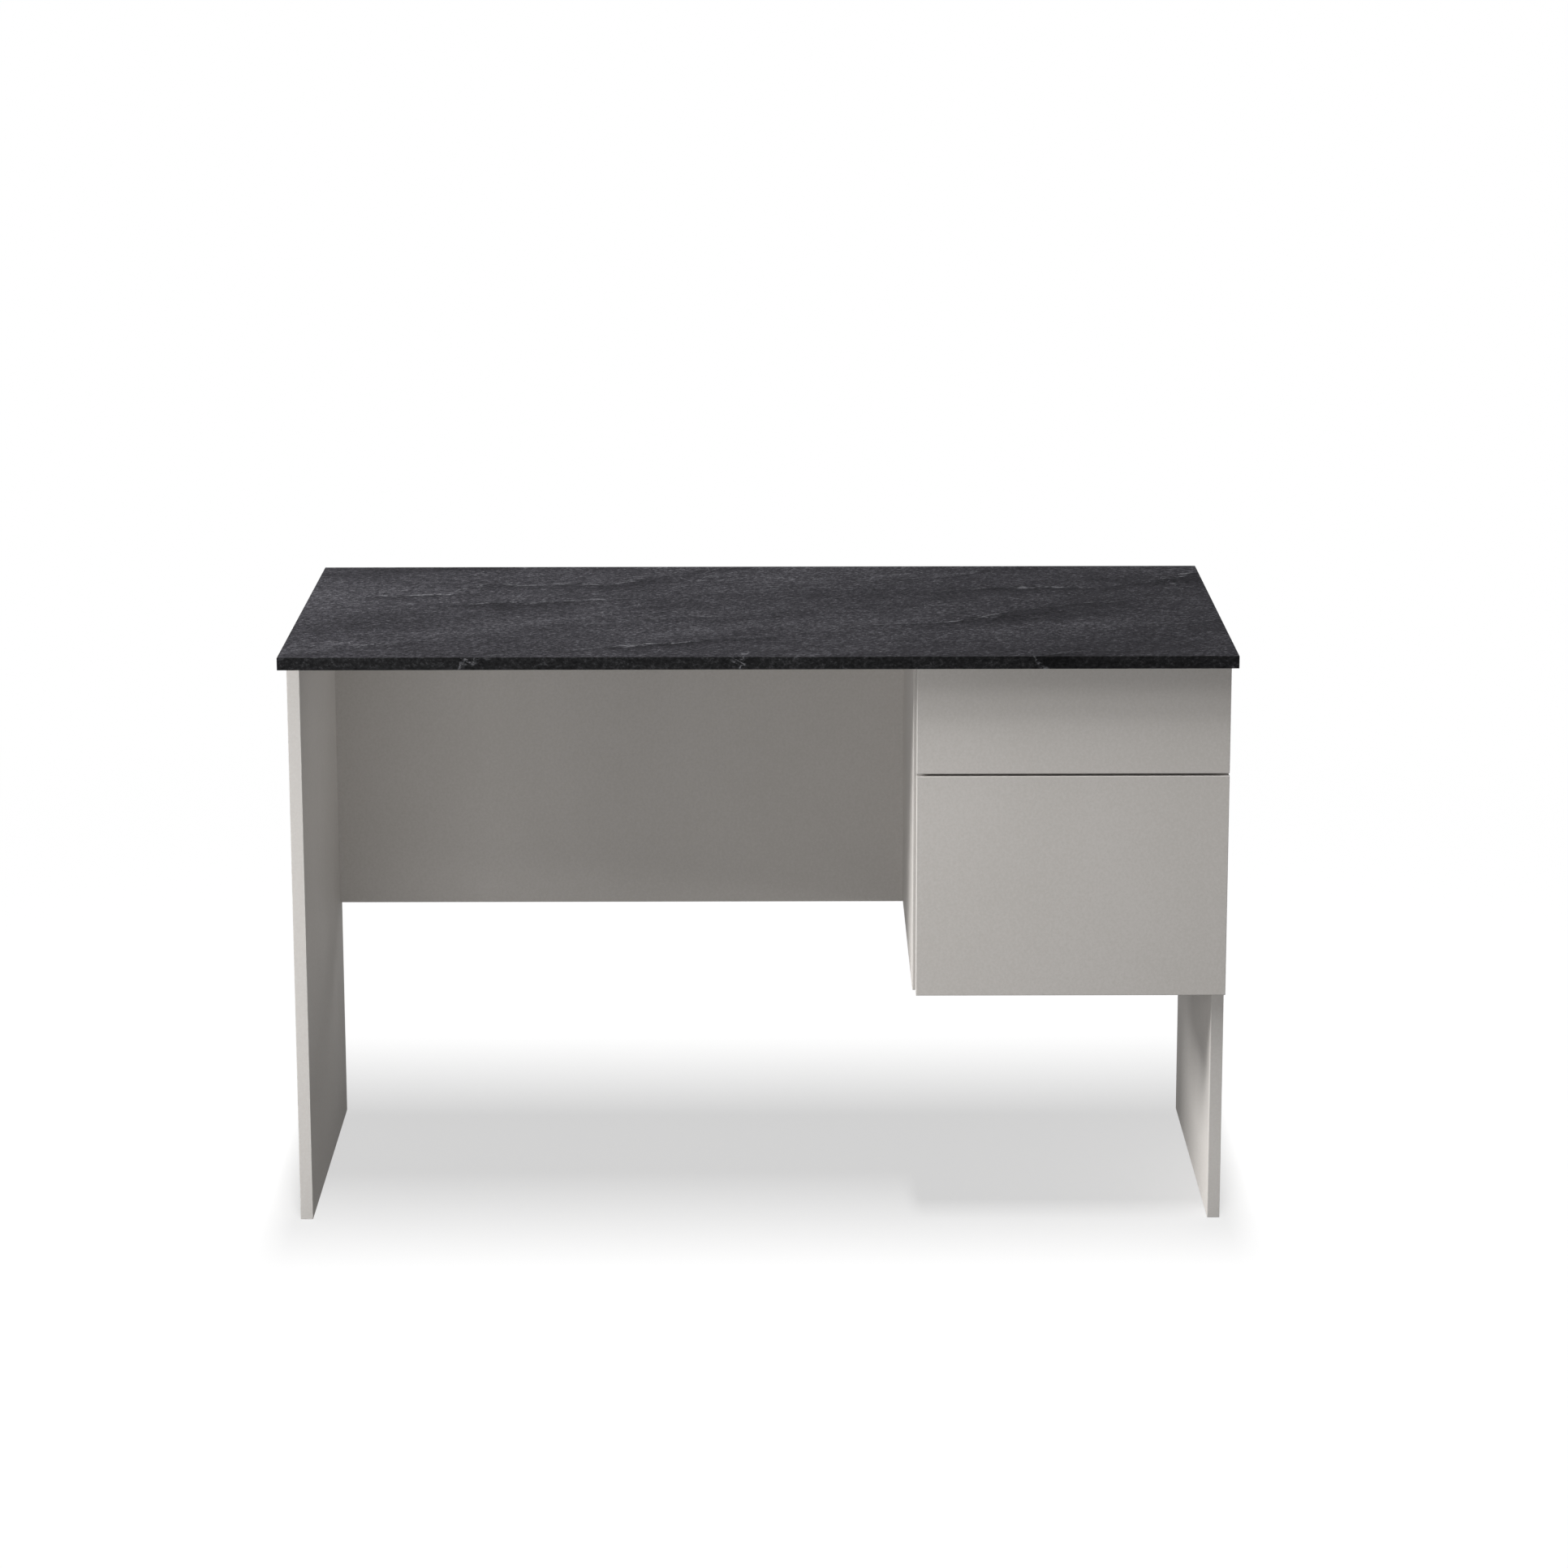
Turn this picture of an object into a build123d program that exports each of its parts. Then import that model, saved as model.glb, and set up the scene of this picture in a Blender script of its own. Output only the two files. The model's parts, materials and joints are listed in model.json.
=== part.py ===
from build123d import *
from math import cos, radians, sin, sqrt
import os

# Writing desk with a hanging pedestal of two push-to-open drawers, in millimetres.
# The origin is on the floor under the middle of the top, +X to the sitter's right, +Y to the back, +Z up.

# Desk
top_width = 1200.0
top_depth = 600.0
desk_height = 750.0
board = 16.0
edging = 1.0
side_overhang = 7.0
front_overhang = 42.0
side_depth = 456.0
back_inset = 8.0
pedestal_width = 398.0
pedestal_height = 428.0

# Drawer fronts
push_gap = 3.0
front_gap = 3.0
front_drop = 2.0
front_left_reveal = 4.0
upper_front_height = 137.0

# Drawer boxes
box_board = 12.0
box_bottom = 3.0
box_rear_gap = 35.0
upper_box_rise = 18.0
upper_box_drop = 23.0
lower_box_rise = 28.0
lower_box_drop = 59.0
rabbet = 4.0
groove_depth = 5.0
groove_rise = 10.0
groove_clearance = 0.2

# Telescopic ball-bearing slides
slide_height = 45.0
slide_rise = 34.0
sheet = 1.0
bend = 1.3
ball_diameter = 2.8
ball_clearance = 0.2
web_gap = 0.5
drawer_web_gap = 0.46
hump_angle = 60.0
race_angle = 30.0
outer_lip_angle = 20.0
middle_lip_angle = 30.0
drawer_lip_angle = 200.0
rail_setback = 2.0
rail_rear_gap = 30.0
push_zone = 34.0
rail_hole = 4.5
rail_hole_margin = 36.0
cage_length = 150.0
cage_thickness = 0.6
cage_side_gap = 0.3
pocket_clearance = 0.15
balls_per_row = 2

# Push-to-open units in the rear ends of the cabinet rails
unit_gap = 5.0
unit_end_gap = 2.0
unit_height = 24.0
unit_side_gap = 0.5
unit_round = 2.5
nose_diameter = 8.0
nose_length = 1.5

# Dowels, cam fittings and screws, drawn as prisms with few sides to keep the model light
pin_sides = 12
disc_sides = 18
fit_clearance = 0.1
dowel_diameter = 8.0
dowel_in_edge = 18.0
dowel_cover = 4.0
cam_diameter = 15.0
cam_distance = 34.0
cam_cover = 3.5
cam_slot_width = 2.0
cam_slot_depth = 3.0
cam_slot_length = 11.0
bolt_diameter = 6.8
bolt_thread = 5.0
bolt_in_face = 11.0
panel_screw_diameter = 5.0
panel_screw_head = 10.0
panel_screw_head_depth = 4.0
panel_screw_length = 50.0
front_screw_diameter = 4.0
front_screw_head = 8.0
front_screw_head_height = 2.2
front_screw_in_front = 11.0
front_screw_inset = 60.0
top_cam_front_inset = 205.0
top_cam_rear_inset = 70.0
top_dowel_inset = 70.0
back_fitting_inset = 60.0
floor_dowel_inset = 90.0

# Where the main faces lie
top_underside = desk_height - board
side_outer = top_width / 2 - side_overhang
side_inner = side_outer - board
side_middle = side_outer - board / 2
side_front = front_overhang - top_depth / 2
side_rear = side_front + side_depth
back_rear = side_rear - back_inset
back_middle = back_rear - board / 2
back_front = back_rear - board
pedestal_bottom = top_underside - pedestal_height
floor_middle = pedestal_bottom + board / 2
partition_outer = side_outer - pedestal_width
partition_middle = partition_outer + board / 2
partition_inner = partition_outer + board
pedestal_middle = (partition_inner + side_inner) / 2

front_left = partition_outer + front_left_reveal
front_rear = side_front - push_gap
front_face = front_rear - board
upper_front_top = top_underside - front_gap
upper_front_bottom = upper_front_top - upper_front_height
lower_front_top = upper_front_bottom - front_gap
lower_front_bottom = pedestal_bottom - front_drop

# The slide's cross-section: u runs from the cabinet wall to the drawer, v up from the slide's middle
race = ball_diameter / 2 + ball_clearance
race_middle = race + sheet / 2
middle_web_u = sheet + web_gap + sheet / 2
outer_row_v = slide_height / 2 - sheet / 2 - race_middle
hump_u = middle_web_u + bend
hump_v = outer_row_v - (bend + race_middle) * sin(radians(hump_angle))
outer_row_u = hump_u + (bend + race_middle) * cos(radians(hump_angle))
inner_row_u = outer_row_u + 2 * race_middle * cos(radians(race_angle))
inner_row_v = outer_row_v - 2 * race_middle * sin(radians(race_angle))
drawer_web_u = inner_row_u + race + sheet + drawer_web_gap
slide_width = drawer_web_u + sheet

box_left = partition_inner + slide_width
box_right = side_inner - slide_width
box_rear = back_front - box_rear_gap
rail_front = side_front + rail_setback
cabinet_rail_rear = back_front - rail_rear_gap
moving_rail_rear = cabinet_rail_rear - push_zone
cage_middle = (rail_front + moving_rail_rear) / 2

all_min = (Align.MIN, Align.MIN, Align.MIN)
to_left, to_right = Vector(-1, 0, 0), Vector(1, 0, 0)
to_front, to_rear = Vector(0, -1, 0), Vector(0, 1, 0)
upwards, downwards = Vector(0, 0, 1), Vector(0, 0, -1)

pieces = {}


def add(name, shape):
    pieces.setdefault(name, []).extend(shape.solids())


def bore(name, cutter):
    pieces[name] = [part for solid in pieces[name] for part in (solid - cutter).solids()]


def block(low, high):
    size = Vector(high) - Vector(low)
    return Pos(*low) * Box(size.X, size.Y, size.Z, align=all_min)


def rod(start, along, diameter, length, sides=pin_sides):
    return extrude(Plane(origin=start, z_dir=along) * RegularPolygon(diameter / 2, sides), length)


def countersunk_head(start, along, head_diameter, shank_diameter, depth):
    rim = Plane(origin=start, z_dir=along)
    neck = rim.offset(depth)
    return loft([rim * RegularPolygon(head_diameter / 2, disc_sides),
                 neck * RegularPolygon(shank_diameter / 2, disc_sides)])


# The top is a core with an edging strip on each edge
def make_top():
    x, y = top_width / 2, top_depth / 2
    core_x, core_y = x - edging, y - edging
    add("desk_top", block((-core_x, -core_y, top_underside), (core_x, core_y, desk_height)))
    end_strip = block((core_x, -y, top_underside), (x, y, desk_height))
    long_strip = block((-core_x, core_y, top_underside), (core_x, y, desk_height))
    add("desk_top_edging", end_strip)
    add("desk_top_edging", mirror(end_strip, about=Plane.YZ))
    add("desk_top_edging", long_strip)
    add("desk_top_edging", mirror(long_strip, about=Plane.XZ))


def make_boards():
    add("left_side_panel", block((-side_outer, side_front, 0), (-side_inner, side_rear, top_underside)))
    add("right_side_panel", block((side_inner, side_front, 0), (side_outer, side_rear, top_underside)))
    add("back_panel", block((-side_inner, back_front, pedestal_bottom), (side_inner, back_rear, top_underside)))
    add("pedestal_partition",
        block((partition_outer, side_front, pedestal_bottom), (partition_inner, back_front, top_underside)))
    add("pedestal_floor",
        block((partition_inner, side_front, pedestal_bottom), (side_inner, back_front, pedestal_bottom + board)))


# A bolt in the face of one board is drawn up by a slotted disc sunk in the next board, whose edge meets it
def cam_joint(point, along, disc_face, faced_board, edge_board):
    point = Vector(point)
    disc_depth = board - cam_cover
    centre = point + along * cam_distance
    mouth = centre + disc_face * (board / 2)
    bore(faced_board, rod(point, -along, bolt_thread + 2 * fit_clearance, bolt_in_face))
    bore(edge_board, rod(point, along, bolt_diameter + 2 * fit_clearance, cam_distance))
    bore(edge_board, rod(mouth, -disc_face, cam_diameter + 2 * fit_clearance, disc_depth, disc_sides))
    channel_width = bolt_diameter + 2 * fit_clearance
    channel = Plane(origin=centre, x_dir=-along, z_dir=disc_face) * Box(
        cam_diameter, channel_width, channel_width, align=(Align.MIN, Align.CENTER, Align.CENTER))
    slot = Box(cam_slot_length, cam_slot_width, 2 * cam_slot_depth)
    cross = Plane(origin=mouth, x_dir=along, z_dir=disc_face) * (slot + Rot(0, 0, 90) * slot)
    add("cam_discs", rod(mouth, -disc_face, cam_diameter, disc_depth, disc_sides) - channel - cross)
    thread = rod(point, -along, bolt_thread, bolt_in_face)
    add("cam_bolts", thread + rod(point, along, bolt_diameter, cam_distance - fit_clearance))


def dowel_joint(point, along, faced_board, edge_board):
    in_face = board - dowel_cover
    start = Vector(point) - along * in_face
    hole = rod(start, along, dowel_diameter + 2 * fit_clearance, in_face + dowel_in_edge)
    bore(faced_board, hole)
    bore(edge_board, hole)
    add("dowels", rod(start, along, dowel_diameter, in_face + dowel_in_edge))


def panel_screw(start, along, faced_board, edge_board):
    def screw(clearance):
        head_diameter = panel_screw_head + 2 * clearance
        shank_diameter = panel_screw_diameter + 2 * clearance
        head = countersunk_head(start, along, head_diameter, shank_diameter, panel_screw_head_depth)
        return head + rod(start, along, shank_diameter, panel_screw_length)

    bore(faced_board, screw(fit_clearance))
    bore(edge_board, screw(fit_clearance))
    add("panel_screws", screw(0))


def join_boards():
    top_dowel_y = side_front + top_dowel_inset
    top_cam_ys = (side_front + top_cam_front_inset, back_front - top_cam_rear_inset)
    low_z = pedestal_bottom + back_fitting_inset
    high_z = top_underside - back_fitting_inset
    for side, sign, inwards in (("left_side_panel", -1, to_right), ("right_side_panel", 1, to_left)):
        dowel_joint((sign * side_middle, top_dowel_y, top_underside), downwards, "desk_top", side)
        for y in top_cam_ys:
            cam_joint((sign * side_middle, y, top_underside), downwards, inwards, "desk_top", side)
        cam_joint((sign * side_inner, back_middle, low_z), inwards, to_rear, side, "back_panel")
        dowel_joint((sign * side_inner, back_middle, high_z), inwards, side, "back_panel")

    for y in (top_dowel_y, back_front - top_cam_rear_inset):
        dowel_joint((partition_middle, y, top_underside), downwards, "desk_top", "pedestal_partition")
    for z in (low_z, high_z):
        panel_screw((partition_middle, back_rear, z), to_front, "back_panel", "pedestal_partition")
    panel_screw((pedestal_middle, back_rear, floor_middle), to_front, "back_panel", "pedestal_floor")

    floor_ends = (("pedestal_partition", partition_inner, to_right), ("right_side_panel", side_inner, to_left))
    for wall, x, inwards in floor_ends:
        for y in (side_front + floor_dowel_inset, back_front - floor_dowel_inset):
            dowel_joint((x, y, floor_middle), inwards, wall, "pedestal_floor")


# Roll-formed channel: a flat web and two mirrored flanges, as the middle line of the sheet
def channel_profile(web_u, web_end_v, flange):
    web = Line((web_u, -web_end_v), (web_u, web_end_v))
    return trace([web, *flange, *(mirror(edge, about=Plane.XZ) for edge in flange)], sheet)


def cabinet_rail_profile():
    web_u = sheet / 2
    flange_v = outer_row_v + race_middle
    corner_v = flange_v - bend
    flange = [
        CenterArc((web_u + bend, corner_v), bend, 180, -90),
        Line((web_u + bend, flange_v), (outer_row_u, flange_v)),
        CenterArc((outer_row_u, outer_row_v), race_middle, 90, outer_lip_angle - 90),
    ]
    return channel_profile(web_u, corner_v, flange)


def middle_rail_profile():
    under_outer_row = 180 - hump_angle - race_angle
    flange = [
        CenterArc((hump_u, hump_v), bend, 180, hump_angle - 180),
        CenterArc((outer_row_u, outer_row_v), race_middle, 180 + hump_angle, under_outer_row),
        CenterArc((inner_row_u, inner_row_v), race_middle, 180 - race_angle, middle_lip_angle + race_angle - 180),
    ]
    return channel_profile(middle_web_u, hump_v, flange)


def drawer_rail_profile():
    web_u = drawer_web_u + sheet / 2
    flange_v = inner_row_v - race_middle
    corner_v = flange_v - bend
    flange = [
        CenterArc((web_u - bend, corner_v), bend, 0, 90),
        Line((web_u - bend, flange_v), (inner_row_u, flange_v)),
        CenterArc((inner_row_u, inner_row_v), race_middle, 270, drawer_lip_angle - 270),
    ]
    return channel_profile(web_u, corner_v, flange)


def rail(profile, rear_y, middle_z, web_u, with_holes):
    section = Plane(origin=(partition_inner, rear_y, middle_z), x_dir=to_right, z_dir=to_front)
    shape = extrude(section * profile, rear_y - rail_front)
    if with_holes:
        for y in (rail_front + rail_hole_margin, moving_rail_rear - rail_hole_margin):
            shape -= rod((partition_inner + web_u - sheet, y, middle_z), to_right, rail_hole, 2 * sheet)
    return shape


# Balls are faceted, in open pockets along the edge of a strip, one strip above and one below
def ball_cage(row_u, row_v, spine_low_u, spine_high_u, pocket_low_u, pocket_high_u, middle_z):
    ball = chamfer(Box(ball_diameter, ball_diameter, ball_diameter).edges(), ball_diameter * (1 - 1 / sqrt(2)))
    pitch = cage_length / balls_per_row
    pocket_half = ball_diameter / 2 + pocket_clearance
    rows = []
    for z in (middle_z - row_v, middle_z + row_v):
        low_z, high_z = z - cage_thickness / 2, z + cage_thickness / 2
        strip = block((partition_inner + spine_low_u, cage_middle - cage_length / 2, low_z),
                      (partition_inner + spine_high_u, cage_middle + cage_length / 2, high_z))
        for index in range(balls_per_row):
            y = cage_middle + (index - (balls_per_row - 1) / 2) * pitch
            strip -= block((partition_inner + pocket_low_u, y - pocket_half, low_z),
                           (partition_inner + pocket_high_u, y + pocket_half, high_z))
            rows.append(Pos(partition_inner + row_u, y, z) * ball)
        rows.append(strip)
    return rows


def outer_cage(middle_z):
    reach = ball_diameter / 2 + pocket_clearance
    low_u, high_u = sheet + cage_side_gap, outer_row_u + reach
    return ball_cage(outer_row_u, outer_row_v, low_u, high_u, outer_row_u - reach, high_u, middle_z)


def inner_cage(middle_z):
    reach = ball_diameter / 2 + pocket_clearance
    low_u, high_u = inner_row_u - reach, drawer_web_u - cage_side_gap
    return ball_cage(inner_row_u, inner_row_v, low_u, high_u, low_u, inner_row_u + reach, middle_z)


def push_unit(middle_z):
    front_y, rear_y = moving_rail_rear + unit_gap, cabinet_rail_rear - unit_end_gap
    low_u, high_u = sheet, slide_width - unit_side_gap
    housing = block((partition_inner + low_u, front_y, middle_z - unit_height / 2),
                    (partition_inner + high_u, rear_y, middle_z + unit_height / 2))
    long_edges = housing.edges().filter_by(Axis.Y).group_by(Axis.X)[-1]
    housing = fillet(long_edges, unit_round)
    nose_u = partition_inner + high_u - nose_diameter / 2
    return housing + rod((nose_u, front_y, middle_z), to_front, nose_diameter, nose_length, disc_sides)


# Each slide is made on the partition and mirrored to the right side
def make_slides(name, middle_z):
    cabinet = rail(cabinet_rail_profile(), cabinet_rail_rear, middle_z, 0, True)
    middle = rail(middle_rail_profile(), moving_rail_rear, middle_z, middle_web_u, False)
    drawer = rail(drawer_rail_profile(), moving_rail_rear, middle_z, drawer_web_u, True)
    members = {
        "cabinet_rail": [cabinet],
        "push_unit": [push_unit(middle_z)],
        "middle_rail": [middle],
        "drawer_rail": [drawer],
        "outer_ball_cage": outer_cage(middle_z),
        "inner_ball_cage": inner_cage(middle_z),
    }
    for member, shapes in members.items():
        for shape in shapes:
            add(f"{name}_left_{member}", shape)
            add(f"{name}_right_{member}", mirror(shape, about=Plane.YZ.offset(pedestal_middle)))


def front_screw(name, x, z):
    face_y = front_rear + box_board
    shank_length = box_board + front_screw_in_front
    hole = rod((x, face_y, z), to_front, front_screw_diameter + 2 * fit_clearance, shank_length)
    bore(f"{name}_drawer_front", hole)
    bore(f"{name}_drawer_inner_front", hole)
    head = rod((x, face_y, z), to_rear, front_screw_head, front_screw_head_height, disc_sides)
    add(f"{name}_drawer_front_screws", head + rod((x, face_y, z), to_front, front_screw_diameter, shank_length))


# A box of rabbeted boards on a grooved-in bottom, behind an overlaid front
def make_drawer(name, front_low, front_high, box_low, box_high, screw_heights):
    add(f"{name}_drawer_front", block((front_left, front_face, front_low), (side_outer, front_rear, front_high)))

    inner_left, inner_right = box_left + box_board, box_right - box_board
    inner_front, inner_rear = front_rear + box_board, box_rear - box_board
    add(f"{name}_drawer_left_side", block((box_left, front_rear, box_low), (inner_left, box_rear, box_high)))
    add(f"{name}_drawer_right_side", block((inner_right, front_rear, box_low), (box_right, box_rear, box_high)))
    walls = {"inner_front": (front_rear, inner_front), "back": (inner_rear, box_rear)}
    for wall, (low_y, high_y) in walls.items():
        shape = block((inner_left - rabbet, low_y, box_low), (inner_right + rabbet, high_y, box_high))
        add(f"{name}_drawer_{wall}", shape)
        bore(f"{name}_drawer_left_side", shape)
        bore(f"{name}_drawer_right_side", shape)

    bottom_z = box_low + groove_rise
    low = Vector(inner_left - groove_depth, inner_front - groove_depth, bottom_z)
    high = Vector(inner_right + groove_depth, inner_rear + groove_depth, bottom_z + box_bottom)
    room = Vector(groove_clearance, groove_clearance, 0)
    groove = block(low - room, high + room + upwards * groove_clearance)
    for wall in ("left_side", "right_side", "inner_front", "back"):
        bore(f"{name}_drawer_{wall}", groove)
    add(f"{name}_drawer_bottom", block(low, high))

    for z in screw_heights:
        for x in (inner_left + front_screw_inset, inner_right - front_screw_inset):
            front_screw(name, x, z)


def make_drawers():
    upper_low = upper_front_bottom + upper_box_rise
    upper_high = upper_front_top - upper_box_drop
    lower_low = lower_front_bottom + lower_box_rise
    lower_high = lower_front_top - lower_box_drop
    upper_screws = [(upper_low + upper_high) / 2]
    lower_screws = [lower_low + front_screw_inset, lower_high - front_screw_inset]
    make_drawer("upper", upper_front_bottom, upper_front_top, upper_low, upper_high, upper_screws)
    make_drawer("lower", lower_front_bottom, lower_front_top, lower_low, lower_high, lower_screws)
    make_slides("upper", upper_low + slide_rise)
    make_slides("lower", lower_low + slide_rise)


make_top()
make_boards()
join_boards()
make_drawers()

os.makedirs("parts", exist_ok=True)
for node, solids in pieces.items():
    export_step(solids[0] if len(solids) == 1 else Compound(solids), f"parts/{node}.step")
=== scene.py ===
import json
import math

import bpy
from mathutils import Matrix, Vector


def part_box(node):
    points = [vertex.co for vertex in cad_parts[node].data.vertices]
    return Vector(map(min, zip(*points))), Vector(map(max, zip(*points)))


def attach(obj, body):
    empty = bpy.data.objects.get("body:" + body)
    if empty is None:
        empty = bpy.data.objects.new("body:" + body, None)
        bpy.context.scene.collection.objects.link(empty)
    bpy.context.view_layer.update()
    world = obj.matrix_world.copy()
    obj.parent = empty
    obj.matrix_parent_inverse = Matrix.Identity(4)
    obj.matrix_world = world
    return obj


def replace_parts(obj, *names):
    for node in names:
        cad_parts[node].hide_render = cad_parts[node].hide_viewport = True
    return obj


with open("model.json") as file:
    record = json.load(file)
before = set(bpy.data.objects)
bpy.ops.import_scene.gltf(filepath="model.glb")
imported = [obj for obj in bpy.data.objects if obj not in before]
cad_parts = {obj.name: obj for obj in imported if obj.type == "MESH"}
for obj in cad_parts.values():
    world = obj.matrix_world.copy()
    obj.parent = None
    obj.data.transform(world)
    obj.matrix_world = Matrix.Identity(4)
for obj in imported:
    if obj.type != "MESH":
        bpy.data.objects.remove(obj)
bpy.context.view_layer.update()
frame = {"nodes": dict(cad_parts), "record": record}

nodes = frame["nodes"]
bodyOf = {}
for body, members in frame["record"]["behaviour"]["bodies"].items():
    for node in members:
        bodyOf[node] = body
print("desk frame loaded with", len(nodes), "nodes")


def paint(red, green, blue):  # levels of 0 to 255 as seen on screen
    def linear(level):
        level = level / 255
        return level / 12.92 if level <= 0.04045 else ((level + 0.055) / 1.055) ** 2.4
    return (linear(red), linear(green), linear(blue), 1.0)


class Wire:  # one output of a node, so that shader sums read as sums
    def __init__(self, finish, socket):
        self.finish = finish
        self.socket = socket

    def sum(self, operation, first, second=0.0):
        return self.finish.node("ShaderNodeMath", {"operation": operation}, {0: first, 1: second})

    def __add__(self, other):
        return self.sum("ADD", self, other)

    def __radd__(self, other):
        return self.sum("ADD", other, self)

    def __sub__(self, other):
        return self.sum("SUBTRACT", self, other)

    def __rsub__(self, other):
        return self.sum("SUBTRACT", other, self)

    def __mul__(self, other):
        return self.sum("MULTIPLY", self, other)

    def __rmul__(self, other):
        return self.sum("MULTIPLY", other, self)

    def __mod__(self, other):
        return self.sum("FLOORED_MODULO", self, other)

    def __abs__(self):
        return self.sum("ABSOLUTE", self)

    def swing(self, strength, middle=0.5):  # how far a noise is from its middle, times the strength
        return (self - middle) * strength


class Finish:  # the node tree of one finish
    def __init__(self, tree):
        self.tree = tree
        tree.nodes.clear()

    def node(self, kind, settings={}, sockets={}, output=0):
        made = self.tree.nodes.new(kind)
        for name, value in settings.items():
            setattr(made, name, value)
        for name, value in sockets.items():
            if isinstance(value, Wire):
                self.tree.links.new(value.socket, made.inputs[name])
            else:
                made.inputs[name].default_value = value
        return Wire(self, made.outputs[output]) if made.outputs else None

    # object coordinates in metres, tilted about x, turned about z, then stretched
    def place(self, stretch=(1, 1, 1), turn=0, tilt=0, start=None):
        if start is None:
            start = self.node("ShaderNodeTexCoord", output="Object")
        if turn or tilt:
            angles = (math.radians(tilt), 0, math.radians(turn))
            start = self.node("ShaderNodeMapping", {}, {"Vector": start, "Rotation": angles})
        return self.node("ShaderNodeMapping", {}, {"Vector": start, "Scale": stretch})

    def axis(self, vector, letter):
        return self.node("ShaderNodeSeparateXYZ", {}, {0: vector}, letter)

    def noise(self, look, start=None):  # the look holds the noise's inputs and how far it is stretched
        return self.node("ShaderNodeTexNoise", {}, {
            "Vector": self.place(look.get("stretch", (1, 1, 1)), start=start),
            "Scale": look["scale"],
            "Detail": look["detail"],
            "Roughness": look.get("roughness", 0.5),
            "Distortion": look.get("distortion", 0.0),
        })

    def ease(self, value, low=0.0, high=1.0):  # 0 below low, 1 above high, smooth between
        sockets = {"Value": value, "From Min": low, "From Max": high}
        return self.node("ShaderNodeMapRange", {"interpolation_type": "SMOOTHSTEP"}, sockets)

    def blend(self, share, first, second):
        return self.node("ShaderNodeMix", {"data_type": "RGBA"}, {0: share, 6: first, 7: second}, 2)

    def bump(self, height, strength, distance):
        sockets = {"Height": height, "Strength": strength, "Distance": distance}
        return self.node("ShaderNodeBump", {}, sockets)

    def surface(self, sockets):
        shader = self.node("ShaderNodeBsdfPrincipled", {}, sockets)
        self.node("ShaderNodeOutputMaterial", {}, {"Surface": shader})


def newFinish(name):
    material = bpy.data.materials.new(name)
    material.use_nodes = True
    return material, Finish(material.node_tree)


offGrid = {"turn": 27, "tilt": 35}  # fine noise on a face that lies along its grid would look woven

# Slate decor: coarse mineral grain, short pale fibres, cleft layers and hairlines that rise to the right
slateLook = {
    "deep": paint(24, 24, 26), "stone": paint(58, 57, 61),
    "dust": paint(115, 114, 119), "vein": paint(164, 164, 169),
    "roughness": 0.85, "shine": 0.02, "bump": (0.35, 0.0004),
    "layerTurn": -21, "layersPerMetre": 7.0, "layerWobble": 1.9,
    "hairTurn": -24, "grainStretch": (1, 1.6, 1.6),
    "noise": {
        "cloud": {"stretch": (1, 2, 2), "scale": 3.2, "detail": 5, "roughness": 0.6},
        "mottle": {"stretch": (1, 1.6, 1.6), "scale": 38, "detail": 4, "roughness": 0.65},
        "grain": {"scale": 170, "detail": 3, "roughness": 0.8},
        "speck": {"scale": 800, "detail": 2, "roughness": 0.6},
        "fibre": {"stretch": (1, 5, 5), "scale": 55, "detail": 3, "roughness": 0.6, "distortion": 0.4},
        "fibrePatch": {"scale": 9.0, "detail": 3, "roughness": 0.6},
        "wobble": {"stretch": (1.6, 3, 3), "scale": 1.6, "detail": 5, "roughness": 0.6},
        "layerPatch": {"stretch": (1.6, 3.4, 3.4), "scale": 2.1, "detail": 3},
        "broken": {"stretch": (1, 2.5, 2.5), "scale": 32, "detail": 4, "roughness": 0.75},
        "hair": {"stretch": (4, 9, 9), "scale": 1.5, "detail": 4, "roughness": 0.6, "distortion": 0.7},
        "hairPatch": {"scale": 6.0, "detail": 3, "roughness": 0.6},
    },
    "limits": {  # where each part of the pattern starts to show, and where it shows in full
        "stone": (-0.25, 0.55), "dust": (0.45, 1.25), "veinGrain": (0.3, 0.6),
        "fibre": (0.56, 0.72), "fibrePatch": (0.4, 0.65), "broken": (0.45, 0.62),
        "shadeBand": (0.45, 0.95), "veinLine": (0.93, 0.985), "layerPatch": (0.45, 0.61),
        "hairLine": (0.0, 0.01), "hairPatch": (0.5, 0.64),
    },
    "strength": {
        "grain": 3.1, "mottle": 0.7, "cloud": 0.8, "speck": 0.6,
        "shade": 0.3, "fibre": 0.42, "vein": 0.75, "hair": 0.7,
        "mottleRoughness": 0.25, "grainRoughness": 0.2,
        "grainHeight": 0.6, "speckHeight": 0.3, "layerHeight": 0.5,
    },
}
slateEdgeLook = dict(
    slateLook, deep=paint(18, 18, 19), stone=paint(36, 36, 37), dust=paint(69, 69, 71), shine=0.03)


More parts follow.
